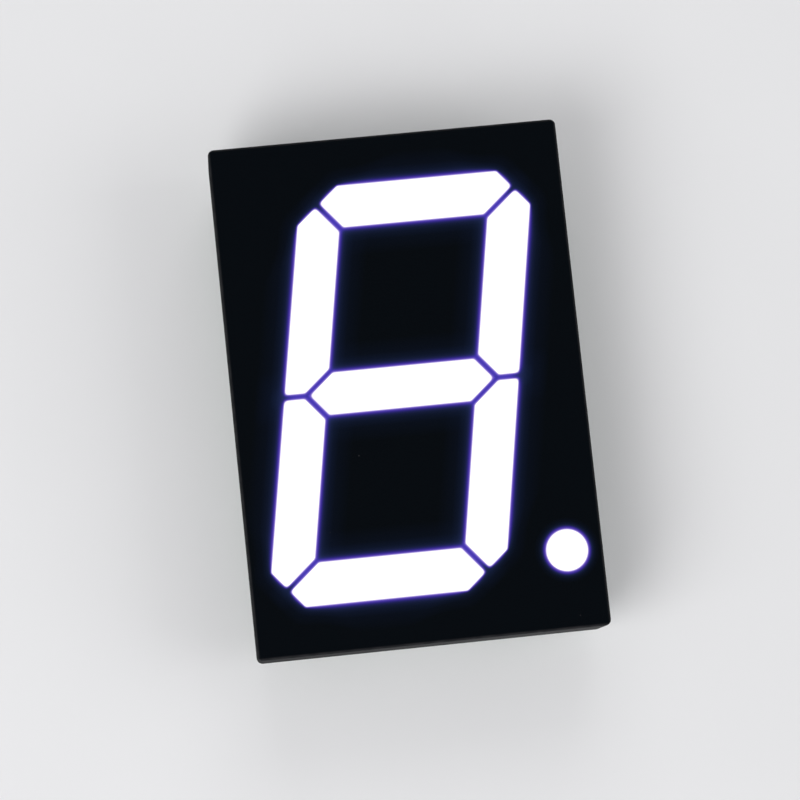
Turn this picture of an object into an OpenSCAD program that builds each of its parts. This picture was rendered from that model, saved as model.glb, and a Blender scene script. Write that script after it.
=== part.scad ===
// Seven segment display: one figure of seven lit bars and a decimal point, on ten pins.
// All sizes are in millimetres. The display lies face up. z = 0 is its seat, where the
// housing's rear rim meets the board it is soldered to, and the pins reach below that.
// The origin is the middle of the pin pattern, +Z points out of the lit face and +Y
// points to the top of the figure.
//
// How it goes together: the white housing is one moulding with a tapered light well for
// each bar. Its face and sides carry a black coat. The circuit board, with the LEDs on
// its front, closes the wells from behind and is held by four pegs, staked over. Cast
// resin fills each well up to the face. The pins pass through the board and are soldered
// behind it.

/* [Figure] */
// Height of the figure
digit_h = 57; // [52:0.5:62]
// Width of the figure before it leans
digit_w = 32.2; // [29:0.1:36]
// Lean of the figure to the right, in degrees
slant = 10; // [0:0.5:12]
// Width of the upright, top and bottom bars
bar_w = 5.97; // [5.5:0.01:6.6]
// Width of the middle bar
mid_bar_w = 5.89; // [5.5:0.01:6.6]
// Black line between two bars
bar_gap = 0.53; // [0.4:0.01:0.8]
// Cut across an outer corner of the figure, measured along each side of it
corner_cut = 5.07; // [4.5:0.01:5.6]
// Rounding of a bar's corners
window_r = 0.35; // [0.2:0.05:0.5]
// Diameter of the decimal point
point_d = 5.85; // [5.4:0.05:6.6]
// From the figure's leaning side to the middle of the decimal point
point_reach = 8.14; // [7.5:0.01:9.5]
// From the foot of the figure up to the middle of the decimal point
point_rise = 4.15; // [3.6:0.05:6]

/* [Housing] */
// Black border left and right of the figure and its point
side_margin = 2; // [1.6:0.1:5]
// Black border above and below the figure
end_margin = 6.5; // [6:0.1:9]
// Depth from the seat to the face
body_d = 12; // [10:0.1:15]
// Rounding of the four upright edges
corner_r = 0.8; // [0.6:0.1:1.5]
// Rounding of the edge around the face
face_edge_r = 0.4; // [0.2:0.05:0.5]
// Thickness of the black coat
coat_t = 0.15; // [0.1:0.01:0.25]
// Strip beside the seat that the coat leaves bare
bare_edge = 0.4; // [0:0.1:1]
// Thickness of the rear rim around the circuit board
rim_t = 1.3; // [0.8:0.1:1.8]
// Width of the ledge that the circuit board lies on
ledge_w = 0.8; // [0.5:0.1:1.2]
// Thickness of the face
face_t = 1.5; // [1:0.1:2.5]
// Thickness of a light well's wall at the face
well_wall = 1; // [0.7:0.1:1.3]
// How far each side of a light well slopes in towards the board
well_slope = 1.3; // [0.8:0.05:1.5]
// The same for the decimal point's well
point_slope = 0.6; // [0.3:0.05:0.8]

/* [Pegs] */
// Diameter of a peg where it passes the board
peg_d = 1.6; // [1.2:0.1:2]
// Diameter of the post behind a peg
post_d = 3; // [2.6:0.1:3.4]
// From two sides of the housing to the middle of a peg
peg_inset = 4.5; // [4.2:0.1:4.8]
// Diameter of a peg's staked head
peg_head_d = 2.8; // [2.4:0.1:3]
// Height of a peg's staked head
peg_head_h = 0.8; // [0.5:0.1:1.2]

/* [Circuit board] */
// Thickness of the board
board_t = 1.6; // [1.2:0.1:2]
// From the seat in to the back of the board
board_recess = 2; // [1.7:0.1:2.6]
// Room around the board, its pins and its pegs
board_gap = 0.15; // [0.05:0.01:0.2]
// Thickness of the copper
copper_t = 0.07; // [0.035:0.005:0.1]
// Width of a trace
trace_w = 0.8; // [0.5:0.05:0.9]
// Least space beside a trace
trace_gap = 0.5; // [0.2:0.05:0.6]
// Diameter of a pin's pad
pad_d = 1.9; // [1.7:0.05:2]
// Diameter of a via's pad
via_pad_d = 0.9; // [0.7:0.05:1]
// Diameter of a via
via_d = 0.5; // [0.4:0.05:0.6]
// Width of the copper under the LEDs
strip_w = 1; // [0.8:0.05:1.2]
// Break in that copper under the middle of each LED
strip_break = 0.9; // [0.6:0.05:1.1]

/* [LEDs] */
// LEDs under one bar
bar_leds = 4; // [2:1:4]
// Length of an LED
led_l = 2; // [1.6:0.1:2.2]
// Width of an LED
led_w = 1.25; // [0.8:0.05:1.35]
// Height of an LED
led_h = 0.8; // [0.5:0.05:1.1]
// Height of an LED's base, below its lens
led_base_h = 0.3; // [0.2:0.05:0.4]
// Length of an LED's lens
led_lens_l = 1.3; // [1:0.05:1.4]
// Gap between the two LEDs of the decimal point
led_gap = 0.4; // [0.2:0.05:0.5]

/* [Pins] */
// Distance from pin to pin in a row
pin_pitch = 2.54; // [2.54:0.01:2.8]
// From the figure's foot or top out to the row of pins
pin_margin = 1.98; // [1.8:0.01:2.6]
// Length of a pin below the seat
pin_l = 5; // [3:0.1:8]
// Diameter of a pin
pin_d = 0.6; // [0.5:0.05:0.65]
// Diameter of its thicker shank, in the board
shank_d = 1; // [0.95:0.01:1.05]
// Diameter of its head, on the front of the board
pin_head_d = 1.6; // [1.4:0.05:1.8]
// Height of its head
pin_head_h = 0.3; // [0.2:0.05:0.5]
// Diameter of its tip
pin_tip_d = 0.3; // [0.2:0.05:0.45]
// Length of the chamfer at its tip
pin_tip_h = 0.25; // [0.1:0.05:0.5]
// Height of a solder joint over its pad
solder_h = 1.3; // [1.1:0.05:1.5]
// Length of a pin's thin part that the solder covers
solder_lap = 0.25; // [0.1:0.05:0.4]
// Thickness of the solder around the end of the shank
solder_film = 0.06; // [0.03:0.01:0.1]

/* [Hidden] */
$fn = 48;
eps = 0.01;          // how far a cut runs past the face it opens
arc_steps = 4;       // flats in the rounding of a bar's corner
edge_steps = 5;      // flats in the rounding of the coat's edges
QUARTER = [for (i = [0:edge_steps]) 90 * i / edge_steps];
row_pins = 5;        // pins in one row

// ---- Levels, from the seat up to the face ----
board_top = board_recess + board_t;
led_z = board_top + copper_t;
copper_z = board_recess - copper_t;
shell_top = body_d - coat_t;

// ---- The figure: its corners before it leans, from its centre ----
half_w = digit_w / 2;
half_h = digit_h / 2;

// The point where a line through p along u meets a line through q along v.
function meet(p, u, q, v) = p + u * cross(q - p, v) / cross(u, v);

// Upper right corner: a mitre at 45 degrees parts the top bar from the side bar, and a cut
// square to the mitre takes off the outside.
mitre = [1, 1];
cut = [1, -1];
mitre_step = [-1, 1] * bar_gap / 2 / sqrt(2);
mitre_in = [half_w - bar_w, half_h - bar_w];
cut_start = [half_w - corner_cut, half_h];
cut_end = [half_w, half_h - corner_cut];
top_in = meet(mitre_in + mitre_step, mitre, [0, half_h - bar_w], [1, 0]);
top_tip = meet(mitre_in + mitre_step, mitre, cut_start, cut);
side_in = meet(mitre_in - mitre_step, mitre, [half_w - bar_w, 0], [0, 1]);
side_tip = meet(mitre_in - mitre_step, mitre, cut_start, cut);

// Waist, on the right: a mitre the other way parts the side bar from the middle bar.
waist_step = [1, 1] * bar_gap / 2 / sqrt(2);
waist_in = [half_w - bar_w, mid_bar_w / 2];
side_low = meet(waist_in + waist_step, cut, [half_w - bar_w, 0], [0, 1]);
side_foot = meet(waist_in + waist_step, cut, [0, bar_gap / 2], [1, 0]);
mid_top = meet(waist_in - waist_step, cut, [0, mid_bar_w / 2], [1, 0]);
mid_tip = meet(waist_in - waist_step, cut, [0, 0], [1, 0]);

// Outlines run anticlockwise. A mirrored one is turned round to keep that.
function backwards(pts) = [for (i = [len(pts) - 1:-1:0]) pts[i]];
function mirrored(pts, sx, sy) =
    let (flipped = [for (p = pts) [p.x * sx, p.y * sy]])
    sx * sy < 0 ? backwards(flipped) : flipped;

top_bar = [[-top_in.x, top_in.y], top_in, top_tip, cut_start,
           [-cut_start.x, cut_start.y], [-top_tip.x, top_tip.y]];
side_bar = [side_low, side_foot, [half_w, bar_gap / 2], cut_end, side_tip, side_in];
middle_bar = [[-mid_top.x, -mid_top.y], [mid_top.x, -mid_top.y], mid_tip, mid_top,
              [-mid_top.x, mid_top.y], [-mid_tip.x, mid_tip.y]];

// ---- The figure as it lies on the face ----
// The point's own place, and the shift that centres figure and point between the borders.
lean = tan(slant);
point_from_centre = [half_w + point_reach + (point_rise - half_h) * lean, point_rise - half_h];
figure_left = -half_w - half_h * lean;
figure_right = point_from_centre.x + point_d / 2;
figure_x = -(figure_left + figure_right) / 2;
function placed(p) = [p.x + p.y * lean + figure_x, p.y];
point_at = [point_from_centre.x + figure_x, point_from_centre.y];

// The seven bars: a is the top one, b to f go round the figure clockwise, g is the middle.
BARS = [for (bar = [top_bar, side_bar, mirrored(side_bar, 1, -1), mirrored(top_bar, 1, -1),
                    mirrored(side_bar, -1, -1), mirrored(side_bar, -1, 1), middle_bar])
        [for (p = bar) placed(p)]];

// The figure's own outline, and the two counters that the bars leave open.
upper_right = [cut_end, cut_start];
FIGURE = [for (p = concat(upper_right, mirrored(upper_right, -1, 1), -upper_right,
                          mirrored(upper_right, 1, -1))) placed(p)];
upper_counter = [[-waist_in.x, waist_in.y], waist_in, mitre_in, [-mitre_in.x, mitre_in.y]];
COUNTERS = [for (counter = [upper_counter, mirrored(upper_counter, 1, -1)]) [for (p = counter) placed(p)]];

// Each bar's row of LEDs: [middle before it leans, half its length, is it upright].
side_mid = [half_w - bar_w / 2, (side_tip.y + side_foot.y) / 2];
side_half = (side_tip.y - side_foot.y) / 2 / cos(slant);
top_mid = [0, half_h - bar_w / 2];
ROWS = [[top_mid, top_tip.x, false],
        [side_mid, side_half, true],
        [[side_mid.x, -side_mid.y], side_half, true],
        [-top_mid, top_tip.x, false],
        [-side_mid, side_half, true],
        [[-side_mid.x, side_mid.y], side_half, true],
        [[0, 0], mid_tip.x, false]];
function row_turn(k) = ROWS[k][2] ? 90 - slant : 0;
function along_row(k, s) = placed(ROWS[k][0]) + s * [cos(row_turn(k)), sin(row_turn(k))];
// A via lies clear of the well's sloping end.
via_margin = 0.75;
via_inset = sqrt(2) * (well_slope + via_pad_d / 2 + via_margin);
function via_along(k, end) = end * (ROWS[k][1] - via_inset);
function via_at(k, end) = along_row(k, via_along(k, end));
function led_along(k, i) = ((i + 1) / (bar_leds + 1) * 2 - 1) * ROWS[k][1];

// ---- The decimal point: two LEDs side by side, both vias above them ----
point_base_r = point_d / 2 - point_slope;
point_led_x = (led_w + led_gap) / 2;
point_via_room = 0.2;    // between a via's pad and the foot of the well
point_via_y = sqrt(pow(point_base_r - via_pad_d / 2 - point_via_room, 2) - pow(point_led_x, 2));
function point_via(side) = point_at + [side * point_led_x, point_via_y];

// ---- The housing's outlines, as half width and half height ----
body = [(figure_right - figure_left) / 2 + side_margin, half_h + end_margin];
shell = body - [coat_t, coat_t];
recess = shell - [rim_t, rim_t];
hollow = recess - [ledge_w, ledge_w];
board = recess - [board_gap, board_gap];
peg_at = body - [peg_inset, peg_inset];
PEGS = [for (sx = [-1, 1], sy = [-1, 1]) [sx * peg_at.x, sy * peg_at.y]];

// ---- The pins: 1 to 5 along the foot from the left, 6 to 10 back along the top ----
pin_row = half_h + pin_margin;
function pin_at(n) = n <= row_pins
    ? [(n - (row_pins + 1) / 2) * pin_pitch, -pin_row]
    : [((3 * row_pins + 1) / 2 - n) * pin_pitch, pin_row];
pin_hole_d = shank_d + 2 * board_gap;
solder_tip = copper_z - solder_h;
shank_z = solder_tip + solder_lap;

// ================ Outlines and lofts ================

function unit(v) = v / norm(v);
function left_of(u) = [-u.y, u.x];

// An anticlockwise outline with every side moved in by d.
function inset(pts, d) = let (n = len(pts)) [for (i = [0:n - 1])
    let (before = unit(pts[i] - pts[(i + n - 1) % n]), after = unit(pts[(i + 1) % n] - pts[i]))
    meet(pts[i] + d * left_of(before), before, pts[i] + d * left_of(after), after)];

// The same outline with its corners rounded to radius r, in steps flats.
function rounded(pts, r, steps) = let (n = len(pts), centres = inset(pts, r)) [for (i = [0:n - 1])
    let (before = unit(pts[i] - pts[(i + n - 1) % n]), after = unit(pts[(i + 1) % n] - pts[i]),
         start = atan2(-before.x, before.y), turn = acos(min(1, before * after)))
    for (k = [0:steps]) centres[i] + r * [cos(start + turn * k / steps), sin(start + turn * k / steps)]];

function box_outline(half) = [[-half.x, -half.y], [half.x, -half.y], [half.x, half.y], [-half.x, half.y]];

// A closed solid through [z, outline] levels, all with as many points, from the bottom up.
module loft(levels) {
    n = len(levels[0][1]);
    last = len(levels) - 1;
    polyhedron(
        points = [for (level = levels, p = level[1]) [p.x, p.y, level[0]]],
        faces = concat(
            [[for (i = [0:n - 1]) i]],
            [for (j = [0:last - 1], i = [0:n - 1])
                [j * n + i, (j + 1) * n + i, (j + 1) * n + (i + 1) % n, j * n + (i + 1) % n]],
            [[for (i = [n - 1:-1:0]) last * n + i]]));
}

// A rectangle with round corners, made of true arcs.
module round_box(half, r) {
    square(2 * [half.x - r, half.y], center = true);
    square(2 * [half.x, half.y - r], center = true);
    for (sx = [-1, 1], sy = [-1, 1])
        translate([sx * (half.x - r), sy * (half.y - r)]) circle(r);
}

// ================ Light wells and what fills them ================

// The window of bar k, and the foot of its well on the board.
function window(k) = rounded(BARS[k], window_r, arc_steps);
function well_foot(k) = rounded(inset(BARS[k], well_slope), window_r, arc_steps);

// The space in the well of bar k, running on straight below the board's front and above
// the white moulding by the amounts given.
module well(k, below, above) {
    loft(concat(below > 0 ? [[board_top - below, well_foot(k)]] : [],
                [[board_top, well_foot(k)], [shell_top, window(k)], [shell_top + above, window(k)]]));
}

// The same for the decimal point.
module point_well(below, above) {
    translate(point_at) rotate_extrude()
        polygon([[0, board_top - below], [point_base_r, board_top - below], [point_base_r, board_top],
                 [point_d / 2, shell_top], [point_d / 2, shell_top + above], [0, shell_top + above]]);
}

// ================ LEDs and copper ================

// One LED: a base with a shorter lens on it, lying along x.
module led() {
    translate([-led_l / 2, -led_w / 2, 0]) cube([led_l, led_w, led_base_h]);
    translate([-led_lens_l / 2, -led_w / 2, 0]) cube([led_lens_l, led_w, led_h]);
}

module row_leds(k) {
    color([1, 0.93, 0.6]) for (i = [0:bar_leds - 1]) {
        at = along_row(k, led_along(k, i));
        translate([at.x, at.y, led_z]) rotate(row_turn(k)) led();
    }
}

module point_leds() {
    color([1, 0.93, 0.6]) for (side = [-1, 1])
        translate([point_at.x + side * point_led_x, point_at.y, led_z]) rotate(90) led();
}

// The copper under a row of LEDs, from via to via, broken under each LED.
module row_strip(k) {
    at = placed(ROWS[k][0]);
    reach = via_along(k, 1);
    translate(at) rotate(row_turn(k)) difference() {
        union() {
            square([2 * reach, strip_w], center = true);
            for (end = [-1, 1]) translate([end * reach, 0]) circle(d = via_pad_d);
        }
        for (i = [0:bar_leds - 1])
            translate([led_along(k, i), 0]) square([strip_break, 2 * strip_w], center = true);
    }
}

// The copper under the decimal point's LEDs: a link below them and a pad above each.
module point_strip() {
    translate(point_at) {
        translate([-point_led_x - strip_w / 2, -led_l / 2])
            square([2 * point_led_x + strip_w, (led_l - strip_break) / 2]);
        for (side = [-1, 1]) translate([side * point_led_x, 0]) {
            translate([-strip_w / 2, strip_break / 2])
                square([strip_w, point_via_y - strip_break / 2]);
            translate([0, point_via_y]) circle(d = via_pad_d);
        }
    }
}

module front_layer() {
    translate([0, 0, board_top]) linear_extrude(copper_t) children();
}

// ================ The pieces ================

module housing() {
    color("white") difference() {
        union() {
            difference() {
                linear_extrude(shell_top) round_box(shell, corner_r - coat_t);
                translate([0, 0, -eps]) linear_extrude(board_top + eps) square(2 * recess, center = true);
                hollows();
            }
            for (at = PEGS) translate(at) peg();
        }
        for (k = [0:len(BARS) - 1]) well(k, eps, eps);
        point_well(eps, eps);
    }
}

// What is cored out of the housing from behind: the room round the figure's wells, the
// point's well and the posts, and one pocket in each counter.
module hollows() {
    translate([0, 0, board_top - eps]) linear_extrude(shell_top - face_t - board_top + eps) {
        difference() {
            square(2 * hollow, center = true);
            polygon(inset(FIGURE, -well_wall));
            translate(point_at) circle(point_d / 2 + well_wall);
            for (at = PEGS) translate(at) circle(d = post_d);
        }
        for (counter = COUNTERS) polygon(inset(counter, well_wall));
    }
}

// A peg through the board, with the head that staking leaves behind it. Half of it is
// sunk in its post, which the hollows leave standing. The head is the cap of a ball that
// lies on its side, so that no pole of the ball falls on the cap.
module peg() {
    translate([0, 0, board_recess - eps]) cylinder(d = peg_d, h = 2 * board_t);
    ball_r = (pow(peg_head_d / 2, 2) + pow(peg_head_h, 2)) / 2 / peg_head_h;
    intersection() {
        translate([0, 0, board_recess - peg_head_h + ball_r]) rotate([90, 0, 0]) sphere(ball_r);
        translate([0, 0, board_recess - peg_head_h]) cylinder(d = peg_head_d, h = peg_head_h);
    }
}

// The black coat on the face and the sides, open at each window.
module black_coat() {
    function edge_outline(d) = rounded(inset(box_outline(body), d), corner_r - d, edge_steps);
    color([0.03, 0.03, 0.035]) difference() {
        loft(concat(
            [[bare_edge, edge_outline(0)]],
            [for (t = QUARTER)
                [body_d - face_edge_r * (1 - sin(t)), edge_outline(face_edge_r * (1 - cos(t)))]]));
        translate([0, 0, bare_edge - eps]) linear_extrude(shell_top - bare_edge + eps)
            round_box(shell, corner_r - coat_t);
        translate([0, 0, shell_top - eps]) linear_extrude(coat_t + 2 * eps) {
            for (k = [0:len(BARS) - 1]) polygon(window(k));
            translate(point_at) circle(d = point_d);
        }
    }
}

// The cast resin of bar k. It fills the well round the LEDs, up to the face.
module segment(k) {
    color([0.97, 0.97, 1]) difference() {
        well(k, 0, coat_t);
        row_leds(k);
        front_layer() row_strip(k);
    }
}

// The same for the decimal point.
module decimal_point() {
    color([0.97, 0.97, 1]) difference() {
        point_well(0, coat_t);
        point_leds();
        front_layer() point_strip();
    }
}

module circuit_board() {
    color([0.1, 0.4, 0.2]) translate([0, 0, board_recess]) linear_extrude(board_t) difference() {
        square(2 * board, center = true);
        for (n = [1:2 * row_pins]) translate(pin_at(n)) circle(d = pin_hole_d);
        for (at = PEGS) translate(at) circle(d = peg_d + 2 * board_gap);
        for (at = vias()) translate(at) circle(d = via_d);
    }
}

function vias() = concat(
    [for (k = [0:len(BARS) - 1], end = [-1, 1]) via_at(k, end)],
    [for (side = [-1, 1]) point_via(side)]);

// The copper on the front of the board: the strips under the LEDs and a ring round each pin.
module front_copper() {
    color([0.85, 0.6, 0.35]) front_layer() difference() {
        union() {
            for (k = [0:len(BARS) - 1]) row_strip(k);
            point_strip();
            for (n = [1:2 * row_pins]) translate(pin_at(n)) circle(d = pad_d);
        }
        for (n = [1:2 * row_pins]) translate(pin_at(n)) circle(d = pin_hole_d);
    }
}

// ---- Traces on the back of the board ----

// A trace of one width through the listed points, with round joints and ends.
module trace(pts) {
    for (p = pts) translate(p) circle(d = trace_w);
    for (i = [0:len(pts) - 2]) {
        step = pts[i + 1] - pts[i];
        translate((pts[i] + pts[i + 1]) / 2) rotate(atan2(step.y, step.x))
            square([norm(step), trace_w], center = true);
    }
}

// Lanes just inside the two rows of pins, left of the left hand vias and below the point.
lane_y = pin_row - pad_d / 2 - trace_gap - trace_w / 2;
lane_x = via_at(4, 1).x - via_pad_d / 2 - trace_gap - trace_w / 2;
point_lane_x = (pin_at(5).x + peg_at.x) / 2;
point_lane_y = point_at.y - point_d / 2 - trace_w / 2;

// From pin n to a via: along the pin's lane and then straight in.
function by_lane(n, via) =
    let (pin = pin_at(n), y = sign(pin.y) * lane_y) [pin, [pin.x, y], [via.x, y], via];
// From pin n to a via at one turn.
function by_corner(n, via) = [pin_at(n), [pin_at(n).x, via.y], via];

// One trace from its own pin to each bar and to the point.
TRACES = [by_corner(7, via_at(0, 1)),
          by_lane(6, via_at(1, 1)),
          by_lane(4, via_at(2, -1)),
          by_corner(2, via_at(3, -1)),
          by_lane(1, via_at(4, -1)),
          by_lane(9, via_at(5, 1)),
          [pin_at(10), [lane_x, pin_row], [lane_x, 0], via_at(6, -1)],
          [pin_at(5), [point_lane_x, -pin_row], [point_lane_x, point_lane_y],
           [point_via(1).x, point_lane_y], point_via(1)]];

// The common trace: a trunk between the two middle pins, with a branch to each bar and one
// that runs on past bar c to the point.
module common_trace() {
    ends = [-1, -1, 1, 1, 1, -1, 1];
    trace([pin_at(3), pin_at(8)]);
    for (k = [0:len(BARS) - 1]) trace([[0, via_at(k, ends[k]).y], via_at(k, ends[k])]);
    trace([via_at(2, 1), [point_via(-1).x, via_at(2, 1).y], point_via(-1)]);
}

module back_copper() {
    color([0.15, 0.5, 0.25]) {
        translate([0, 0, copper_z]) linear_extrude(copper_t) difference() {
            union() {
                for (pts = TRACES) trace(pts);
                common_trace();
                for (n = [2:2 * row_pins]) translate(pin_at(n)) circle(d = pad_d);
                translate(pin_at(1)) square(pad_d, center = true);
                for (at = vias()) translate(at) circle(d = via_pad_d);
            }
            for (n = [1:2 * row_pins]) translate(pin_at(n)) circle(d = pin_hole_d);
        }
        for (at = vias()) translate([at.x, at.y, copper_z]) cylinder(d = via_d, h = copper_t + board_t);
    }
}

// ---- Pins and solder ----

module pin(n) {
    color([0.8, 0.8, 0.82]) translate(pin_at(n)) rotate_extrude()
        polygon([[0, -pin_l], [pin_tip_d / 2, -pin_l], [pin_d / 2, pin_tip_h - pin_l], [pin_d / 2, shank_z],
                 [shank_d / 2, shank_z], [shank_d / 2, led_z], [pin_head_d / 2, led_z],
                 [pin_head_d / 2, led_z + pin_head_h], [0, led_z + pin_head_h]]);
}

// One solder joint: a curved fillet from the pad up the shank, a short cone over the
// shank's end, and the solder that fills the room between the shank and its hole.
module solder_joint() {
    foot_r = (pad_d - solder_film) / 2;
    neck_r = shank_d / 2 + solder_film;
    fillet = [for (t = QUARTER) [neck_r + (foot_r - neck_r) * (1 - cos(t)),
                                 copper_z - (copper_z - shank_z) * (1 - sin(t))]];
    rotate_extrude($fn = 24) polygon(concat(
        [[pin_d / 2, shank_z], [pin_d / 2, solder_tip]], fillet,
        [[pin_hole_d / 2, copper_z], [pin_hole_d / 2, led_z],
         [shank_d / 2, led_z], [shank_d / 2, shank_z]]));
}

module solder_joints() {
    color([0.75, 0.76, 0.78]) for (n = [1:2 * row_pins]) translate(pin_at(n)) solder_joint();
}

housing();
black_coat();
segment(0);  // segment_a
segment(1);  // segment_b
segment(2);  // segment_c
segment(3);  // segment_d
segment(4);  // segment_e
segment(5);  // segment_f
segment(6);  // segment_g
decimal_point();
circuit_board();
front_copper();
back_copper();
row_leds(0);  // leds_a
row_leds(1);  // leds_b
row_leds(2);  // leds_c
row_leds(3);  // leds_d
row_leds(4);  // leds_e
row_leds(5);  // leds_f
row_leds(6);  // leds_g
point_leds();  // leds_point
pin(1);  // pin_1
pin(2);  // pin_2
pin(3);  // pin_3
pin(4);  // pin_4
pin(5);  // pin_5
pin(6);  // pin_6
pin(7);  // pin_7
pin(8);  // pin_8
pin(9);  // pin_9
pin(10);  // pin_10
solder_joints();
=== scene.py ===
import math

import bpy
import numpy as np
from mathutils import Matrix, Vector


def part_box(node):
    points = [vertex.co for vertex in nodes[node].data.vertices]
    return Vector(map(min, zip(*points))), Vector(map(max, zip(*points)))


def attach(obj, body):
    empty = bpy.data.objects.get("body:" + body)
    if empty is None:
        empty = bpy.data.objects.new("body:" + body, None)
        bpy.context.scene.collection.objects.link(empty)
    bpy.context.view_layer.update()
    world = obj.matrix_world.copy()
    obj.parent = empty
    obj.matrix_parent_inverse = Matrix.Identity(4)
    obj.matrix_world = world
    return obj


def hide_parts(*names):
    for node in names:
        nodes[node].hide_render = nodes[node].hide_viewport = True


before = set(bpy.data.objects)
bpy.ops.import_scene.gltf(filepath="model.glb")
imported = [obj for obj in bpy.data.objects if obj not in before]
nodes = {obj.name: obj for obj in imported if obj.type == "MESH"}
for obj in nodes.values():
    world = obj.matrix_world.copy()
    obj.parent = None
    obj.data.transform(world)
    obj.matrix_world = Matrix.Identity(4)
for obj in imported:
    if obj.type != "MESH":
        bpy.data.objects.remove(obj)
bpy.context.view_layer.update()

# ---------------------------------------------------------------------------------------
# The housing is one white moulding: light wells, face, rim and four posts with pegs.
# It is satin ABS, with the fine grain of its mould. The pegs are staked over hot, so
# their heads are smoother than the rest and keep faint rings from the tool.
# ---------------------------------------------------------------------------------------
mm = 0.001
moulding_white = (0.83, 0.83, 0.81, 1)
moulding_shade = (0.74, 0.74, 0.715, 1)
body_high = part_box("black_coat")[1]
board_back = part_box("circuit_board")[0].z
peg_inset, peg_head_height = 4.5 * mm, 0.8 * mm         # from two sides of the body; behind the board
peg_head = (body_high.x - peg_inset, body_high.y - peg_inset, board_back - peg_head_height / 2)
staked_reach = (1.7 * mm, 1.5 * mm)         # where the tool's mark ends, and where it is whole
tool_rings = 9 / mm                         # radians of their wave in a metre


def feed(tree, socket, value):
    """Gives a socket its value: a link where that is another socket, and a constant otherwise."""
    if isinstance(value, bpy.types.NodeSocket):
        tree.links.new(value, socket)
    else:
        socket.default_value = value


def put(tree, kind, inputs=(), **settings):
    """Adds one shader node to a tree. inputs gives sockets their values, by name or by number."""
    made = tree.nodes.new("ShaderNode" + kind)
    for name, value in settings.items():
        setattr(made, name, value)
    for socket, value in dict(inputs).items():
        feed(tree, made.inputs[socket], value)
    return made


def maths(tree, operation, a, b=0.0, c=0.0):
    """One sum in a tree: operation on a, b and c, each a number or a socket."""
    return put(tree, "Math", {0: a, 1: b, 2: c}, operation=operation).outputs[0]


def vector_maths(tree, operation, a, b=(0, 0, 0), scale=1.0):
    """The same with vectors. It gives a number for a length, a distance or a dot product."""
    made = put(tree, "VectorMath", {0: a, 1: b, 3: scale}, operation=operation)
    return made.outputs["Value" if operation in ("LENGTH", "DISTANCE", "DOT_PRODUCT") else "Vector"]


def step_between(tree, value, low, high):
    """0 where value is under low, 1 over high, with a smooth step between; it may also fall."""
    return put(tree, "MapRange", {"Value": value, "From Min": low, "From Max": high},
               interpolation_type="SMOOTHSTEP").outputs["Result"]


def vary(tree, pattern, least, spread):
    """least where the pattern is 0, and least + spread where it is 1."""
    return maths(tree, "MULTIPLY_ADD", pattern, spread, least)


def blend_colours(tree, mask, first, second):
    """first where mask is 0 and second where it is 1."""
    return put(tree, "Mix", {0: mask, 6: first, 7: second}, data_type="RGBA").outputs[2]


def raised(tree, height, depth, strength):
    """The normals of a relief: where the height is 1 it stands out by the depth, in mm."""
    bump = put(tree, "Bump", {"Strength": strength, "Distance": depth * mm, "Height": height})
    return bump.outputs["Normal"]


def effect(name, inputs, outputs):
    """An empty shared effect: its tree, the sockets it reads and the sockets it fills."""
    tree = bpy.data.node_groups.new(name, "ShaderNodeTree")
    for label, kind in inputs.items():
        tree.interface.new_socket(label, in_out="INPUT", socket_type="NodeSocket" + kind)
    for label, kind in outputs.items():
        tree.interface.new_socket(label, in_out="OUTPUT", socket_type="NodeSocket" + kind)
    return tree, tree.nodes.new("NodeGroupInput").outputs, tree.nodes.new("NodeGroupOutput").inputs


def apply_effect(tree, shared, **inputs):
    """Places a shared effect in a tree, with its own values, and gives its outputs."""
    return put(tree, "Group", inputs, node_tree=shared).outputs


def new_finish(name, **constants):
    """A material with one Principled shader: its tree, the shader's inputs and the object's own
    coordinates. The underscore in a constant's name stands for a space."""
    made = bpy.data.materials.new(name)
    made.use_nodes = True
    tree = made.node_tree
    surface = tree.nodes["Principled BSDF"].inputs
    for socket, value in constants.items():
        surface[socket.replace("_", " ")].default_value = value
    return made, tree, surface, put(tree, "TexCoord").outputs["Object"]


def give(node_names, material):
    """Gives CAD nodes their finish."""
    for name in node_names:
        nodes[name].material_slots[0].material = material


# Grain: a fine noise for height and roughness, and a slow one for blotches. Size is that
# of the fine noise, in mm.
blotch_size, blotch_edge = 14.0, (0.35, 0.65)           # in grains; where the slow noise turns
grain, asked, answer = effect("grain", {"Place": "Vector", "Size": "Float"},
                              {"Fine": "Float", "Blotch": "Float"})
grains = maths(grain, "DIVIDE", 1 / mm, asked["Size"])  # in a metre
blotches = maths(grain, "DIVIDE", grains, blotch_size)
fine = put(grain, "TexNoise", {"Vector": asked["Place"], "Scale": grains, "Detail": 3.0, "Roughness": 0.6})
slow = put(grain, "TexNoise", {"Vector": asked["Place"], "Scale": blotches, "Detail": 2.0})
feed(grain, answer["Fine"], fine.outputs["Fac"])
feed(grain, answer["Blotch"], step_between(grain, slow.outputs["Fac"], *blotch_edge))

moulding, tree, surface, place = new_finish("white_moulding", Specular_IOR_Level=0.45)
mottle = apply_effect(tree, grain, Place=place, Size=0.22)
feed(tree, surface["Base Color"], blend_colours(tree, mottle["Blotch"], moulding_white, moulding_shade))
from_peg = vector_maths(tree, "DISTANCE", vector_maths(tree, "ABSOLUTE", place), peg_head)
staked = step_between(tree, from_peg, *staked_reach)
tool_wave = maths(tree, "SINE", maths(tree, "MULTIPLY", from_peg, tool_rings))
grained = vary(tree, mottle["Fine"], least=0.34, spread=0.25)
feed(tree, surface["Roughness"], vary(tree, staked, least=grained, spread=-0.14))
relief = vary(tree, maths(tree, "MULTIPLY", tool_wave, staked), least=mottle["Fine"], spread=0.8)
feed(tree, surface["Normal"], raised(tree, relief, depth=0.015, strength=0.6))
give(["housing"], moulding)

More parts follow.
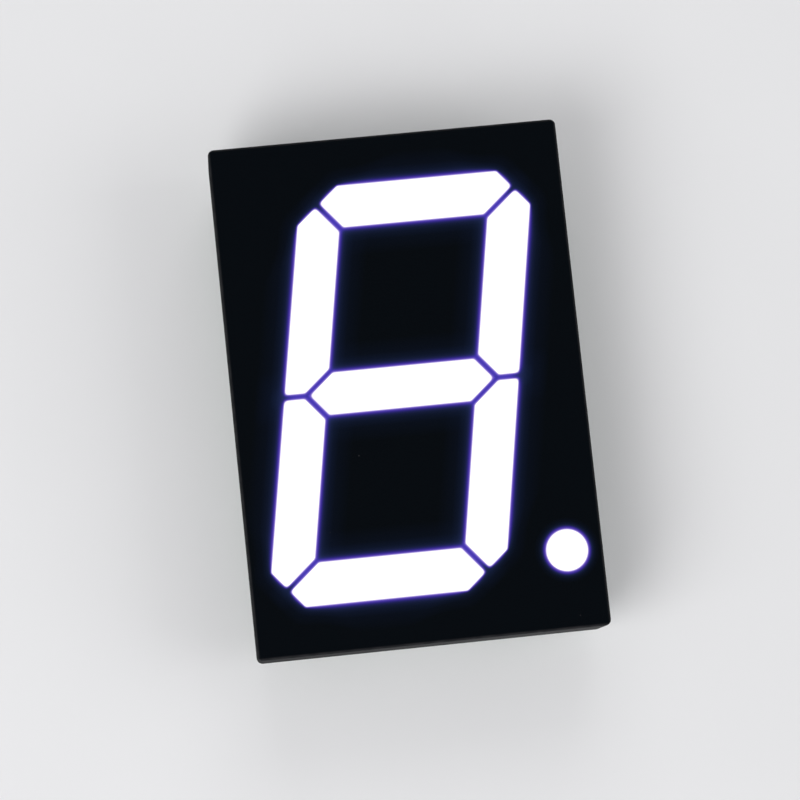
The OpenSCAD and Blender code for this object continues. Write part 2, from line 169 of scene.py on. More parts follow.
# ---------------------------------------------------------------------------------------
# The circuit board is glass laminate, 1.6 mm thick, with green solder mask on both sides
# and a sawn edge where the tan laminate shows. The pegs hold it against the ledge.
# Hand soldering leaves a thin stain of flux round each pin.
# ---------------------------------------------------------------------------------------
mask_green = (0.009, 0.14, 0.046, 1)
mask_deep = (0.007, 0.118, 0.039, 1)
laminate_tan = (0.42, 0.36, 0.2, 1)
glass_pale = (0.55, 0.5, 0.33, 1)
flux_brown = (0.05, 0.11, 0.03, 1)
flux_reach = (2.1 * mm, 1.1 * mm)           # where the stain ends, and where it is whole
edge_on = (0.6, 0.4)                        # how much a face looks up or down, as it turns into the sawn edge
fibre_layers = 4 / mm                       # waves in a metre


def parts_of(tree, vector):
    """The X, Y and Z of a vector."""
    return put(tree, "SeparateXYZ", {0: vector}).outputs


def middle_of(node):
    """The middle of a CAD node's box."""
    low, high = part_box(node)
    return (low + high) / 2


pin_pitch = (middle_of("pin_2") - middle_of("pin_1")).x
row_of_pins = -middle_of("pin_1").y         # one row at each end of the board
last_column = 2                             # of five, counted from the middle one

# Pin distance: how far a place is from the middle of the nearest pin, in metres.
pin_distance, asked, answer = effect("pin_distance", {"Place": "Vector"}, {"Distance": "Float"})
spot = parts_of(pin_distance, asked["Place"])
nearest_column = put(pin_distance, "Clamp", {
    "Value": maths(pin_distance, "ROUND", maths(pin_distance, "DIVIDE", spot["X"], pin_pitch)),
    "Min": -last_column, "Max": last_column}).outputs[0]
across = maths(pin_distance, "MULTIPLY_ADD", nearest_column, -pin_pitch, spot["X"])
along = maths(pin_distance, "SUBTRACT", maths(pin_distance, "ABSOLUTE", spot["Y"]), row_of_pins)
offset = put(pin_distance, "CombineXYZ", {"X": across, "Y": along}).outputs[0]
feed(pin_distance, answer["Distance"], vector_maths(pin_distance, "LENGTH", offset))

board, tree, surface, place = new_finish("masked_board", Specular_IOR_Level=0.35)
mottle = apply_effect(tree, grain, Place=place, Size=0.5)
from_pin = apply_effect(tree, pin_distance, Place=place)["Distance"]
stain = maths(tree, "MULTIPLY", step_between(tree, from_pin, *flux_reach), mottle["Blotch"])
masked = blend_colours(tree, mottle["Blotch"], mask_green, mask_deep)
stained = blend_colours(tree, stain, masked, flux_brown)
facing = parts_of(tree, put(tree, "NewGeometry").outputs["Normal"])["Z"]
sawn = step_between(tree, maths(tree, "ABSOLUTE", facing), *edge_on)
fibre = put(tree, "TexWave", {"Vector": place, "Scale": fibre_layers, "Distortion": 3.0, "Detail": 2.0},
            bands_direction="Z")
laminate = blend_colours(tree, fibre.outputs["Fac"], laminate_tan, glass_pale)
feed(tree, surface["Base Color"], blend_colours(tree, sawn, stained, laminate))
gloss = vary(tree, mottle["Fine"], least=0.2, spread=0.15)
feed(tree, surface["Roughness"], vary(tree, sawn, least=gloss, spread=0.45))

# The weave of the glass shows through the mask as shallow cells, with their sizes in mm.
weave = put(tree, "TexBrick", {"Vector": place, "Scale": 1 / mm, "Brick Width": 0.9, "Row Height": 0.45,
                               "Mortar Size": 0.08, "Mortar Smooth": 1.0})
feed(tree, surface["Normal"], raised(tree, weave.outputs["Fac"], depth=0.006, strength=0.5))
give(["circuit_board"], board)

# ---------------------------------------------------------------------------------------
# The copper is one thin layer on each side, joined by plated holes. Behind, the mask
# covers the traces, which show as a paler green, and leaves a tinned ring at each pin.
# In front, inside the housing, it is bare.
# ---------------------------------------------------------------------------------------
mask_opening = (1.03 * mm, 1.0 * mm)        # where the mask begins, and where the tin is clear of it
trace_green = (0.03, 0.26, 0.09, 1)
trace_deep = (0.022, 0.19, 0.07, 1)
tin_bright = (0.72, 0.72, 0.74, 1)
copper_bare = (0.78, 0.42, 0.24, 1)
copper_dull = (0.62, 0.3, 0.16, 1)

masked_copper, tree, surface, place = new_finish("masked_copper", Specular_IOR_Level=0.35)
mottle = apply_effect(tree, grain, Place=place, Size=0.3)
from_pin = apply_effect(tree, pin_distance, Place=place)["Distance"]
tinned = step_between(tree, from_pin, *mask_opening)
covered = blend_colours(tree, mottle["Blotch"], trace_green, trace_deep)
feed(tree, surface["Base Color"], blend_colours(tree, tinned, covered, tin_bright))
feed(tree, surface["Metallic"], tinned)
feed(tree, surface["Roughness"], vary(tree, mottle["Fine"], least=0.18, spread=0.2))
feed(tree, surface["Normal"], raised(tree, mottle["Fine"], depth=0.008, strength=0.5))
give(["back_copper"], masked_copper)

bare_copper, tree, surface, place = new_finish("bare_copper", Metallic=1.0)
mottle = apply_effect(tree, grain, Place=place, Size=0.2)
feed(tree, surface["Base Color"], blend_colours(tree, mottle["Blotch"], copper_bare, copper_dull))
feed(tree, surface["Roughness"], vary(tree, mottle["Fine"], least=0.25, spread=0.3))
give(["front_copper"], bare_copper)

# ---------------------------------------------------------------------------------------
# Sixteen plated vias join the two layers of copper: one at each end of every bar, and two
# at the point. Plating leaves a low lip round each, and the mask sinks into its hole.
# The sizes of the figure and of the vias are in mm.
# ---------------------------------------------------------------------------------------
half_width, slant = 16.1, math.radians(10)  # of the figure before it leans, and its lean
corner_cut = 5.07                           # along each side of an outer corner
via_inset = math.sqrt(2) * 2.5              # from a bar's tip, along the bar
point_via_x, point_via_y = 0.825, 1.458     # from the middle of the point
skin_radius, lip_radius, lip_width, lip_height = 0.46, 0.33, 0.075, 0.045
middle_radius = 0.02                        # of the pinhole at the skin's middle
mask_depth, skin_back = 0.004, 0.01         # of the flat mask, and of the skin's inner face
hole_mouth, hole_bottom = 0.26, 0.12        # radii where the hole's dark green begins and is whole
skin_rings, skin_steps = 18, 28             # from the middle outwards, and round the via
hole_deep = (0.003, 0.035, 0.012, 1)


def box_mm(node):
    """The lowest and the highest corner of a CAD node's box, in mm."""
    low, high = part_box(node)
    return low / mm, high / mm


top_low, top_high = box_mm("segment_a")
middle_low, middle_high = box_mm("segment_g")
half_height, bar, middle_bar = top_high.y, top_high.y - top_low.y, middle_high.y - middle_low.y
figure_middle = (middle_low.x + middle_high.x) / 2
gap = 2 * box_mm("segment_b")[0].y
point_x, point_y = (middle_of("decimal_point") / mm).xy
back_level = box_mm("back_copper")[0].z


def ring_mesh(name, rings):
    """Closed rings as one mesh of quads. rings[k, i, j] is a point of ring k: i goes round its
    section and j round its axis, and both come back to where they start."""
    around_section, around_axis = rings.shape[1:3]
    k, i, j = np.indices(rings.shape[:3])

    def point(i, j):
        return (k * around_section + i % around_section) * around_axis + j % around_axis

    faces = np.stack([point(i, j), point(i, j + 1), point(i + 1, j + 1), point(i + 1, j)], -1)
    mesh = bpy.data.meshes.new(name)
    mesh.from_pydata(rings.reshape(-1, 3).tolist(), [], faces.reshape(-1, 4).tolist())
    mesh.polygons.foreach_set("use_smooth", np.ones(len(mesh.polygons), bool))
    return mesh


def dress(name, mesh, material):
    """Puts a new piece in the scene, in its finish and material slot, and lets it ride with the part."""
    mesh.materials.append(material)
    piece = bpy.data.objects.new(name, mesh)
    bpy.context.scene.collection.objects.link(piece)
    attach(piece, "root")
    return piece


def via_skins(middles):
    """The mask over the vias, from a radius r at the pinhole out to the skin's: how far it stands out
    is mask depth + lip height exp(-((r - lip radius) / lip width) ^ 2), and a flat inside the copper
    closes it. Also gives how deep in the hole each point is: 1 at its bottom, and 0 past its mouth."""
    outwards = np.linspace(middle_radius, skin_radius, skin_rings)
    depth = lip_height * np.exp(-((outwards - lip_radius) / lip_width) ** 2) + mask_depth
    radius = np.concatenate([[middle_radius], outwards, [skin_radius]])[:, None]
    height = back_level - np.concatenate([[-skin_back], depth, [-skin_back]])[:, None]
    angle = np.linspace(0, 2 * np.pi, skin_steps, endpoint=False)
    ring = np.stack(np.broadcast_arrays(radius * np.cos(angle), radius * np.sin(angle), height), -1)
    rings = ring + np.array([(x, y, 0) for x, y in middles])[:, None, None]
    sunk = np.clip((hole_mouth - radius) / (hole_mouth - hole_bottom), 0, 1)
    return rings * mm, np.broadcast_to(sunk, rings.shape[:3])


# Each bar's vias are found on the upright figure, at all four corners alike, and then lean with it.
mitre_room = gap * math.sqrt(0.5)           # half a gap, as a mitre takes it along a bar
top_end = (2 * half_width - corner_cut - mitre_room) / 2
side_end = (2 * half_height - corner_cut - mitre_room) / 2
middle_end = half_width - bar + middle_bar / 2 - mitre_room
side_inset = via_inset * math.cos(slant)
at_one_corner = [(top_end - via_inset, half_height - bar / 2), (half_width - bar / 2, side_end - side_inset),
                 (half_width - bar / 2, gap / 2 + side_inset)]
bar_vias = [(x * side, y * end) for x, y in at_one_corner for side in (-1, 1) for end in (-1, 1)]
bar_vias += [(side * (middle_end - via_inset), 0) for side in (-1, 1)]
via_middles = [(x + y * math.tan(slant) + figure_middle, y) for x, y in bar_vias]
via_middles += [(point_x + side * point_via_x, point_y + point_via_y) for side in (-1, 1)]

via_skin, tree, surface, place = new_finish("via_skin", Specular_IOR_Level=0.35)
mottle = apply_effect(tree, grain, Place=place, Size=0.3)
into_hole = put(tree, "Attribute", attribute_name="into_hole").outputs["Fac"]
feed(tree, surface["Base Color"], blend_colours(tree, into_hole, trace_green, hole_deep))
feed(tree, surface["Roughness"], vary(tree, mottle["Fine"], least=0.18, spread=0.2))

skin_grid, sunk_grid = via_skins(via_middles)
skins = ring_mesh("via_skins", skin_grid)
skins.attributes.new("into_hole", "FLOAT", "POINT").data.foreach_set("value", sunk_grid.ravel())
dress("via_skins", skins, via_skin)

# ---------------------------------------------------------------------------------------
# Each LED is a yellow phosphor lens on a white base. Four lie under every bar and two
# under the point, soldered to the copper in front and sealed in the resin.
# ---------------------------------------------------------------------------------------
led_base = 0.3 * mm
lens_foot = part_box("leds_a")[0].z + led_base
foot_edge = 0.01 * mm
phosphor_yellow = (0.9, 0.72, 0.12, 1)
phosphor_amber = (0.85, 0.6, 0.06, 1)
base_white = (0.85, 0.85, 0.82, 1)

led, tree, surface, place = new_finish("led_package", Specular_IOR_Level=0.5)
mottle = apply_effect(tree, grain, Place=place, Size=0.1)
lens = step_between(tree, parts_of(tree, place)["Z"], lens_foot - foot_edge, lens_foot + foot_edge)
phosphor = blend_colours(tree, mottle["Fine"], phosphor_yellow, phosphor_amber)
feed(tree, surface["Base Color"], blend_colours(tree, lens, base_white, phosphor))
feed(tree, surface["Roughness"], vary(tree, mottle["Fine"], least=0.25, spread=0.3))
give([f"leds_{name}" for name in "abcdefg"] + ["leds_point"], led)

# ---------------------------------------------------------------------------------------
# The ten pins are round copper wire with bright tin plating, cut to length after they
# were plated, so the red metal shows at each tip. Drawing leaves faint lines along them.
# ---------------------------------------------------------------------------------------
tip_of_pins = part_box("pin_1")[0].z
cut_reach = (0.06 * mm, 0.01 * mm)          # above the tip, where the plating is whole and where it is gone
drawn_across, drawn_along = 18 / mm, 0.35 / mm          # marks in a metre
tin_dull = (0.6, 0.6, 0.61, 1)
cut_copper = (0.66, 0.38, 0.24, 1)

pin, tree, surface, place = new_finish("tinned_pin", Metallic=1.0)
mottle = apply_effect(tree, grain, Place=place, Size=0.25)
drawn = put(tree, "Mapping", {"Vector": place, "Scale": (drawn_across, drawn_across, drawn_along)}).outputs[0]
lines = put(tree, "TexNoise", {"Vector": drawn, "Scale": 1.0, "Detail": 2.0}).outputs["Fac"]
plated = blend_colours(tree, mottle["Blotch"], tin_bright, tin_dull)
cut = step_between(tree, maths(tree, "SUBTRACT", parts_of(tree, place)["Z"], tip_of_pins), *cut_reach)
feed(tree, surface["Base Color"], blend_colours(tree, cut, plated, cut_copper))
feed(tree, surface["Roughness"], vary(tree, lines, least=0.35, spread=0.3))
feed(tree, surface["Normal"], raised(tree, lines, depth=0.004, strength=0.4))
give([f"pin_{number}" for number in range(1, 11)], pin)

# ---------------------------------------------------------------------------------------
# The solder joints are ten hand made fillets. Solder wets the ring and climbs the pin, so
# each is a hollow cone, no two quite alike, and it fills the hole round the shank.
# ---------------------------------------------------------------------------------------
solder_end, board_front = (level.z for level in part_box("solder_joints"))
ring_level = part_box("back_copper")[0].z
shank_end = solder_end + 0.25 * mm
ring_radius, neck_radius, wire_radius = 0.92 * mm, 0.56 * mm, 0.3 * mm
shank_radius, hole_radius = 0.5 * mm, 0.65 * mm
end_width, end_height = 0.05 * mm, 0.02 * mm            # of the blunt edge where the solder ends on the wire
neck_width, neck_height = 0.03 * mm, 0.05 * mm          # of the bevel just below the neck
cone_rings, joint_steps = 24, 64                        # along the cone, and round the pin
swell_share, joint_turn = 0.02, 1.7         # of the radius, and from one joint to the next, in radians
solder_bright = (0.8, 0.8, 0.82, 1)
solder_dull = (0.68, 0.69, 0.71, 1)


def solder_joint(pin_x, pin_y, turn):
    """The joint's profile carried round the pin. The profile goes down the wire to the solder's end,
    up the hollow cone, radius = neck + (ring - neck) (1 - cos t), height = shank end + (ring level -
    shank end) sin t, on through the hole to the board's front, and back down the shank. The cone's
    radius swells and shrinks twice a turn, by swell share (1 - sin(t) ^ 4), so its ring stays round."""
    t = np.linspace(0, np.pi / 2, cone_rings)
    end = np.array([[wire_radius, shank_end], [wire_radius, solder_end],
                    [wire_radius + end_width, solder_end + end_height],
                    [neck_radius - neck_width, shank_end - neck_height]])
    cone = np.stack([neck_radius + (ring_radius - neck_radius) * (1 - np.cos(t)),
                     shank_end + (ring_level - shank_end) * np.sin(t)], 1)
    hole = np.array([[hole_radius, ring_level], [hole_radius, board_front],
                     [shank_radius, board_front], [shank_radius, shank_end]])
    radius, height = np.vstack([end, cone, hole]).T[:, :, None]
    on_cone = np.concatenate([np.zeros(len(end)), 1 - np.sin(t) ** 4, np.zeros(len(hole))])[:, None]
    angle = np.linspace(0, 2 * np.pi, joint_steps, endpoint=False)
    radius = radius * (1 + swell_share * on_cone * np.cos(2 * angle + turn))
    x, y = pin_x + radius * np.cos(angle), pin_y + radius * np.sin(angle)
    return np.stack(np.broadcast_arrays(x, y, height), -1)


solder, tree, surface, place = new_finish("solder", Metallic=1.0)
mottle = apply_effect(tree, grain, Place=place, Size=0.35)
feed(tree, surface["Base Color"], blend_colours(tree, mottle["Blotch"], solder_bright, solder_dull))
feed(tree, surface["Roughness"], vary(tree, mottle["Fine"], least=0.3, spread=0.3))
feed(tree, surface["Normal"], raised(tree, mottle["Fine"], depth=0.01, strength=0.5))

joint_grid = [solder_joint(pin_pitch * column, row_of_pins * end, joint_turn * column + end)
              for end in (-1, 1) for column in range(-last_column, last_column + 1)]
fillets = dress("solder_fillets", ring_mesh("solder_fillets", np.array(joint_grid)), solder)
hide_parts("solder_joints")

# ---------------------------------------------------------------------------------------
# The seven bars and the point are milky resin, cast into the light wells and lit from
# behind by the LEDs. They shine an even white. At the rim, where the black coat begins,
# the light thins out and turns violet.
# ---------------------------------------------------------------------------------------
pointed, blunt = 0.88, 0.3                  # rounding of the windows' square corners and of the wide ones
coat_lap = 0.04                             # of the coat over the bars, along the gaps between them
soft_rounding = 1.5                         # more of it at the figure's outer corners, when soft
corner_reach, corner_stretch = (-3.0, 0.5), 0.6         # past a cut corner: where it sets in, and how much
point_keeps, point_stretch = 0.25, 1.3      # past this distance the point's light dies out faster
rim_softens = (-0.1, 0.25)                  # past a rim, where the softer distance takes over
milk_edge = (-0.1, -0.35)                   # where the resin's white begins inside a window, and is whole
point_radius = (box_mm("decimal_point")[1] - box_mm("decimal_point")[0]).x / 2
milk_bright = (0.86, 0.86, 0.88, 1)
milk_dull = (0.78, 0.78, 0.82, 1)
coat_black = (0.0007, 0.0016, 0.0029, 1)

# Window distances: how far, in mm, a place on the face is outside the nearest window and
# the next one, or, under 0, how far inside. The figure is set upright and folded about its
# two middle lines. Each bar is then where all its sides' distances are under 0. Less light
# spreads from the figure's outer corners and from the small point: at a Softness of 1 the
# corners are rounder, and what lies outside them counts as further away.
window_distance, asked, answer = effect("window_distance", {"Place": "Vector", "Softness": "Float"},
                                        {"Nearest": "Float", "Next": "Float"})
softness = asked["Softness"]


def reckon(operation, a, b=0.0, c=0.0):
    """One sum among the window distances."""
    return maths(window_distance, operation, a, b, c)


on_face = vector_maths(window_distance, "MULTIPLY", asked["Place"], (1 / mm, 1 / mm, 0))
unleaned = vector_maths(window_distance, "DOT_PRODUCT", on_face, (1, -math.tan(slant), 0))
folded = put(window_distance, "CombineXYZ", {
    "X": reckon("ABSOLUTE", reckon("SUBTRACT", unleaned, figure_middle)),
    "Y": reckon("ABSOLUTE", parts_of(window_distance, on_face)["Y"]), "Z": 1.0}).outputs[0]


def past(side):
    """How far the folded place is past a straight side, given as (across, along, minus its own distance)."""
    return vector_maths(window_distance, "DOT_PRODUCT", folded, side)


def corner(first, second, rounding):
    """The outside of two sides and of the rounded corner where they meet."""
    return reckon("SMOOTH_MAX", first, second, rounding)


def outer_corner(first, second, rounding):
    """A corner on the outside of the figure, which softness rounds further."""
    return corner(first, second, reckon("MULTIPLY_ADD", softness, soft_rounding, rounding))


def stretched(distance, stretch):
    """The distance, and outside the window its product with softness and the stretch besides."""
    outside = reckon("MULTIPLY", reckon("MAXIMUM", distance, 0.0), softness)
    return reckon("MULTIPLY_ADD", outside, stretch, distance)


slope = math.sqrt(0.5)                      # both parts of a direction halfway between across and along
half_rib = gap / 2 + coat_lap
mitre = (half_width - half_height) * slope
waist = (half_width - bar + middle_bar / 2) * slope
cut_off = past((slope, slope, -(half_width + half_height - corner_cut) * slope))
outer_side, inner_side = past((1, 0, -half_width)), past((-1, 0, half_width - bar))
top_tip = outer_corner(past((slope, -slope, half_rib - mitre)), cut_off, pointed)
top_outer = outer_corner(past((0, 1, -half_height)), top_tip, blunt)
side_tip = outer_corner(past((-slope, slope, half_rib + mitre)), cut_off, pointed)
side_foot = outer_corner(outer_side, past((0, -1, half_rib)), pointed)
side_waist = corner(inner_side, past((-slope, -slope, half_rib + waist)), blunt)
across_gap = outer_corner(outer_side, past((0, 1, half_rib)), pointed)
middle_tip = corner(past((slope, slope, half_rib - waist)), past((slope, -slope, half_rib - waist)), pointed)
top_window = corner(past((0, -1, half_height - bar)), top_outer, blunt)
side_window = corner(side_waist, outer_corner(side_tip, side_foot, blunt), blunt)
folded_side_window = corner(inner_side, across_gap, pointed)
middle_window = corner(past((0, 1, -middle_bar / 2)), middle_tip, blunt)
at_corner = reckon("MULTIPLY", step_between(window_distance, cut_off, *corner_reach), corner_stretch)
distances = [stretched(distance, at_corner)
             for distance in (top_window, side_window, folded_side_window, middle_window)]
from_point = vector_maths(window_distance, "DISTANCE", on_face, (point_x, point_y, 0))
past_point = reckon("SUBTRACT", from_point, point_radius)
well_past = reckon("MAXIMUM", reckon("SUBTRACT", past_point, point_keeps), 0.0)
distances.append(stretched(past_point, reckon("MULTIPLY", well_past, point_stretch)))
nearest = reckon("MINIMUM", distances[0], distances[1])
following = reckon("MAXIMUM", distances[0], distances[1])
for distance in distances[2:]:
    following = reckon("MINIMUM", following, reckon("MAXIMUM", nearest, distance))
    nearest = reckon("MINIMUM", nearest, distance)
feed(window_distance, answer["Nearest"], nearest)
feed(window_distance, answer["Next"], following)

# Rim light: the colour of the light at a distance in mm outside a window, or inside it,
# under 0. It is white over the resin, violet at the rim and blue as it dies out on the coat.
# Past the rim it follows the softer distance, so less of it reaches round a corner.
rim_light, asked, answer = effect("rim_light", {"Distance": "Float", "Softer": "Float"}, {"Color": "Color"})

# Each row is a distance and the red, green and blue of the light there.
fades = [(-0.5, 1.0, 1.0, 1.0), (-0.25, 1.0, 0.95, 1.0), (-0.12, 0.86, 0.77, 1.0),
         (0.0, 0.18, 0.12, 0.57), (0.14, 0.07, 0.036, 0.38), (0.27, 0.034, 0.02, 0.245),
         (0.41, 0.0165, 0.0145, 0.13), (0.55, 0.0095, 0.0115, 0.066), (0.8, 0.0045, 0.0075, 0.03),
         (1.2, 0.002, 0.004, 0.015), (2.0, 0.0006, 0.0013, 0.005), (4.0, 0.0, 0.0, 0.0)]
innermost, outermost = fades[0][0], fades[-1][0]
softened = step_between(rim_light, asked["Distance"], *rim_softens)
further_out = maths(rim_light, "SUBTRACT", asked["Softer"], asked["Distance"])
reached = maths(rim_light, "MULTIPLY_ADD", further_out, softened, asked["Distance"])
share = maths(rim_light, "DIVIDE", maths(rim_light, "SUBTRACT", reached, innermost), outermost - innermost)
ramp = put(rim_light, "ValToRGB", {"Fac": share})
while len(ramp.color_ramp.elements) < len(fades):
    ramp.color_ramp.elements.new(0.5)
for stop, (distance, *colour) in zip(ramp.color_ramp.elements, fades):
    stop.position = (distance - innermost) / (outermost - innermost)
    stop.color = (*colour, 1)
feed(rim_light, answer["Color"], ramp.outputs["Color"])

resin, tree, surface, place = new_finish("lit_resin", Specular_IOR_Level=0.3, Emission_Strength=1.0,
                                         Roughness=0.35)
mottle = apply_effect(tree, grain, Place=place, Size=0.4)
window = apply_effect(tree, window_distance, Place=place)["Nearest"]
soft_window = apply_effect(tree, window_distance, Place=place, Softness=1.0)["Nearest"]
feed(tree, surface["Emission Color"],
     apply_effect(tree, rim_light, Distance=window, Softer=soft_window)["Color"])
milky = blend_colours(tree, mottle["Blotch"], milk_bright, milk_dull)
in_window = step_between(tree, window, *milk_edge)
feed(tree, surface["Base Color"], blend_colours(tree, in_window, coat_black, milky))
feed(tree, surface["Normal"], raised(tree, mottle["Fine"], depth=0.01, strength=0.3))
give([f"segment_{name}" for name in "abcdefg"] + ["decimal_point"], resin)

# ---------------------------------------------------------------------------------------
# The black coat is sprayed and printed on the face and the sides, open at the eight
# windows. It is dead matt, with a fine grain, and grey along the edges: rubbed wear, and a
# painted highlight. A violet blue glow is painted on it as emission round the windows, for
# the bars' light that gets under its edge and glows through the thin paint.
# ---------------------------------------------------------------------------------------
coat_low, coat_high = box_mm("black_coat")
coat_dust = (0.003, 0.0044, 0.006, 1)
# The grey of specks and rubbed edges. Along the edges it is also a painted highlight.
coat_grey_wear_and_highlight = (0.024, 0.024, 0.026, 1)
wear_and_highlight_reach = (0.4, 0.1)                   # from an edge in mm, where the grey wear and painted highlight end, and where they are whole
dust_edge = (0.45, 0.7)                     # the grain where the dust begins, and where it is whole
speck_spacing, speck_chance = 2.5, 0.07     # places for a speck, in mm apart, and how many hold one
speck_edge = (0.045, 0.025)                 # a speck's outer and inner radius, as a share of that spacing
spray_low, spray_wander = 0.1, 0.5          # its lowest end, under the coat's foot, and how far up it wanders
spray_blur = 0.03
glow_reach = (0.2, 0.1)                     # below the face in mm, where the glow ends and where it is whole

coat, tree, surface, place = new_finish("black_coat", Specular_IOR_Level=0.02, Emission_Strength=1.0)
mottle = apply_effect(tree, grain, Place=place, Size=0.12)
spot = parts_of(tree, vector_maths(tree, "SCALE", place, scale=1 / mm))
from_side = maths(tree, "SUBTRACT", coat_high.x, maths(tree, "ABSOLUTE", spot["X"]))
from_end = maths(tree, "SUBTRACT", coat_high.y, maths(tree, "ABSOLUTE", spot["Y"]))
from_face = maths(tree, "SUBTRACT", coat_high.z, spot["Z"])

# From an edge it is as far as the second smallest of these three.
closest = maths(tree, "MINIMUM", from_side, from_end)
next_closest = maths(tree, "MINIMUM", maths(tree, "MAXIMUM", from_side, from_end), from_face)
from_edge = maths(tree, "MAXIMUM", closest, next_closest)
# Painted highlight: the edges turn a lighter grey, partly as rubbed wear and partly for the light they catch.
edge_wear_and_highlight = maths(tree, "MULTIPLY", step_between(tree, from_edge, *wear_and_highlight_reach),
               vary(tree, mottle["Blotch"], least=0.6, spread=0.4))
specks = put(tree, "TexVoronoi", {"Vector": place, "Scale": 1 / (speck_spacing * mm)})
lot = put(tree, "SeparateColor", {0: specks.outputs["Color"]}).outputs[0]
speck = maths(tree, "MULTIPLY", step_between(tree, specks.outputs["Distance"], *speck_edge),
              maths(tree, "GREATER_THAN", lot, 1 - speck_chance))
sprayed = blend_colours(tree, step_between(tree, mottle["Fine"], *dust_edge), coat_black, coat_dust)
painted = blend_colours(tree, maths(tree, "MAXIMUM", edge_wear_and_highlight, speck), sprayed, coat_grey_wear_and_highlight)
spray_line = vary(tree, mottle["Fine"], least=coat_low.z - spray_low, spread=spray_wander)
bare = step_between(tree, maths(tree, "SUBTRACT", spot["Z"], spray_line), spray_blur, -spray_blur)
feed(tree, surface["Base Color"], blend_colours(tree, bare, painted, moulding_white))
feed(tree, surface["Roughness"], vary(tree, mottle["Fine"], least=0.45, spread=0.3))
feed(tree, surface["Normal"], raised(tree, mottle["Fine"], depth=0.01, strength=0.5))

# Painted glow: the light of the nearest and the next window is painted on the coat as emission, strongest at
# the face.
windows = apply_effect(tree, window_distance, Place=place)
soft_windows = apply_effect(tree, window_distance, Place=place, Softness=1.0)
from_nearest, from_next = (apply_effect(tree, rim_light, Distance=windows[which], Softer=soft_windows[which])
                           for which in ("Nearest", "Next"))
painted_glow = vector_maths(tree, "ADD", from_nearest["Color"], from_next["Color"])
at_face = step_between(tree, from_face, *glow_reach)
feed(tree, surface["Emission Color"], vector_maths(tree, "SCALE", painted_glow, scale=at_face))
give(["black_coat"], coat)

# ---------------------------------------------------------------------------------------
# The display stands on its pins on a plain pale table, in soft light from above. The
# camera looks almost straight down on the face, a little from below and from the left.
# ---------------------------------------------------------------------------------------
table_pale = (0.78, 0.78, 0.79, 1)
table_shade = (0.77, 0.77, 0.78, 1)
backdrop_pale = (0.74, 0.74, 0.75, 1)
backdrop_reach = (0.1, 0.35)                # from the display, where the table turns into the backdrop
table_half = 3
room_pale, room_strength = (0.78, 0.78, 0.79, 1), 0.55

table, tree, surface, place = new_finish("pale_table", Specular_IOR_Level=0.2, Roughness=0.75)
mottle = apply_effect(tree, grain, Place=place, Size=3.0)
feed(tree, surface["Base Color"], blend_colours(tree, mottle["Blotch"], table_pale, table_shade))
far_off = step_between(tree, vector_maths(tree, "LENGTH", place), *backdrop_reach)
backdrop = put(tree, "Emission", {"Color": backdrop_pale}).outputs[0]
table_top = put(tree, "MixShader", {0: far_off, 1: tree.nodes["Principled BSDF"].outputs[0], 2: backdrop})

# The table is clear from below, to the lamps and in mirror images, so that the back is seen and lit.
table_rays = put(tree, "LightPath").outputs
lamplight = maths(tree, "MAXIMUM", table_rays["Is Shadow Ray"], table_rays["Is Glossy Ray"])
open_below = maths(tree, "MAXIMUM", put(tree, "NewGeometry").outputs["Backfacing"], lamplight)
clear = put(tree, "BsdfTransparent").outputs[0]
table_seen = put(tree, "MixShader", {0: open_below, 1: table_top.outputs[0], 2: clear})
feed(tree, tree.nodes["Material Output"].inputs["Surface"], table_seen.outputs[0])
table_corners = [(x * table_half, y * table_half, tip_of_pins)
                 for x, y in ((-1, -1), (1, -1), (1, 1), (-1, 1))]
floor_mesh = bpy.data.meshes.new("floor")
floor_mesh.from_pydata(table_corners, [], [(0, 1, 2, 3)])
floor_mesh.materials.append(table)
floor = bpy.data.objects.new("floor", floor_mesh)
bpy.context.scene.collection.objects.link(floor)

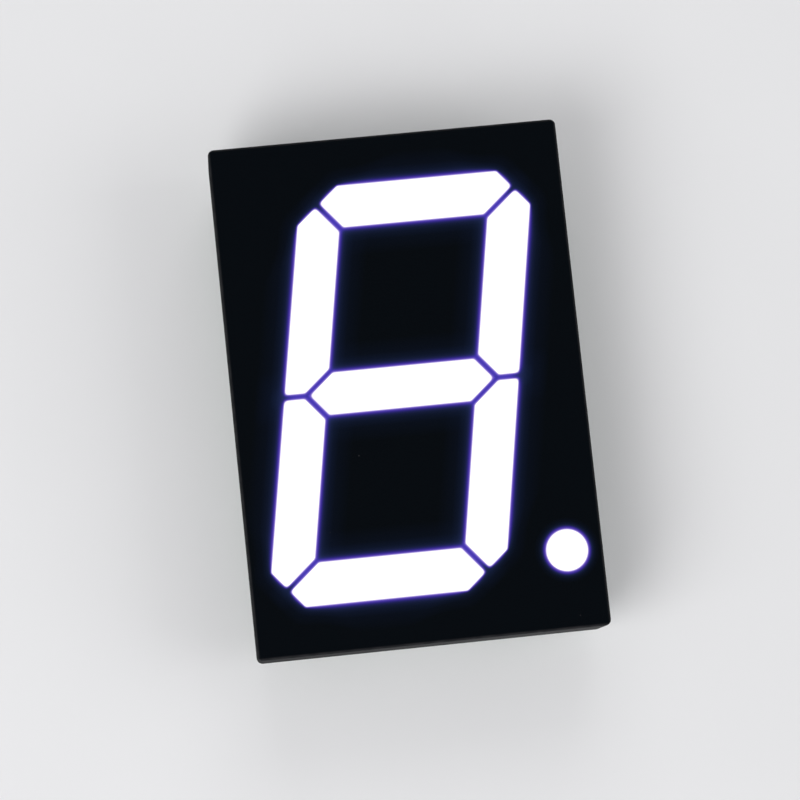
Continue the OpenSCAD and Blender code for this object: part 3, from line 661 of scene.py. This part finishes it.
# The room's light is weaker than it looks to the camera, in metal and in glass.
world = bpy.data.worlds.new("soft_room")
world.use_nodes = True
tree = world.node_tree
room = tree.nodes["Background"]
room.inputs["Color"].default_value = room_pale
room.inputs["Strength"].default_value = room_strength
room_rays = put(tree, "LightPath").outputs
mirrored = maths(tree, "MAXIMUM", room_rays["Is Glossy Ray"], room_rays["Is Transmission Ray"])
looked_at = maths(tree, "MAXIMUM", room_rays["Is Camera Ray"], mirrored)
pale = put(tree, "Background", {"Color": backdrop_pale}).outputs[0]
room_seen = put(tree, "MixShader", {0: looked_at, 1: room.outputs[0], 2: pale})
feed(tree, tree.nodes["World Output"].inputs["Surface"], room_seen.outputs[0])
bpy.context.scene.world = world

# Each lamp's name, place, width, watts and bounces. The lamp under the table lights what
# is seen from below, and throws nothing back on the table.
lamps = [("key", (-0.35, -0.25, 0.5), 0.4, 2.3, 12),
         ("fill", (0.45, -0.1, 0.35), 0.4, 0.8, 12),
         ("back", (0.05, 0.5, 0.4), 0.4, 0.8, 12),
         ("under", (0.3, -0.3, -0.4), 0.5, 2.0, 0)]
for name, at, width, watts, bounces in lamps:
    lamp = bpy.data.lights.new(name, "AREA")
    lamp.size, lamp.energy = width, watts
    lamp.cycles.max_bounces = bounces
    light = bpy.data.objects.new(name, lamp)
    light.location = at
    light.rotation_euler = (-Vector(at)).to_track_quat("-Z", "Y").to_euler()
    bpy.context.scene.collection.objects.link(light)

# The display as the camera sees it: turned by these degrees, with the middle of the figure
# at this place, in figure heights. The camera is placed the other way round.
seen_turned = (Matrix.Rotation(math.radians(6.03), 3, "Z") @ Matrix.Rotation(math.radians(-6.69), 3, "X")
               @ Matrix.Rotation(math.radians(3.84), 3, "Y"))
seen_at = Vector((0.0047, 0.0316, -7.148)) * 2 * half_height * mm
figure_at = Vector((figure_middle, 0, coat_high.z)) * mm
camera_turned = seen_turned.transposed()
camera_data = bpy.data.cameras.new("camera")
camera_data.lens, camera_data.sensor_width = 135, 36
camera_data.clip_start, camera_data.clip_end = 0.01, 20
camera = bpy.data.objects.new("camera", camera_data)
camera.matrix_world = Matrix.Translation(figure_at - camera_turned @ seen_at) @ camera_turned.to_4x4()
bpy.context.scene.collection.objects.link(camera)
bpy.context.scene.camera = camera
bpy.context.scene.view_settings.view_transform = "Standard"
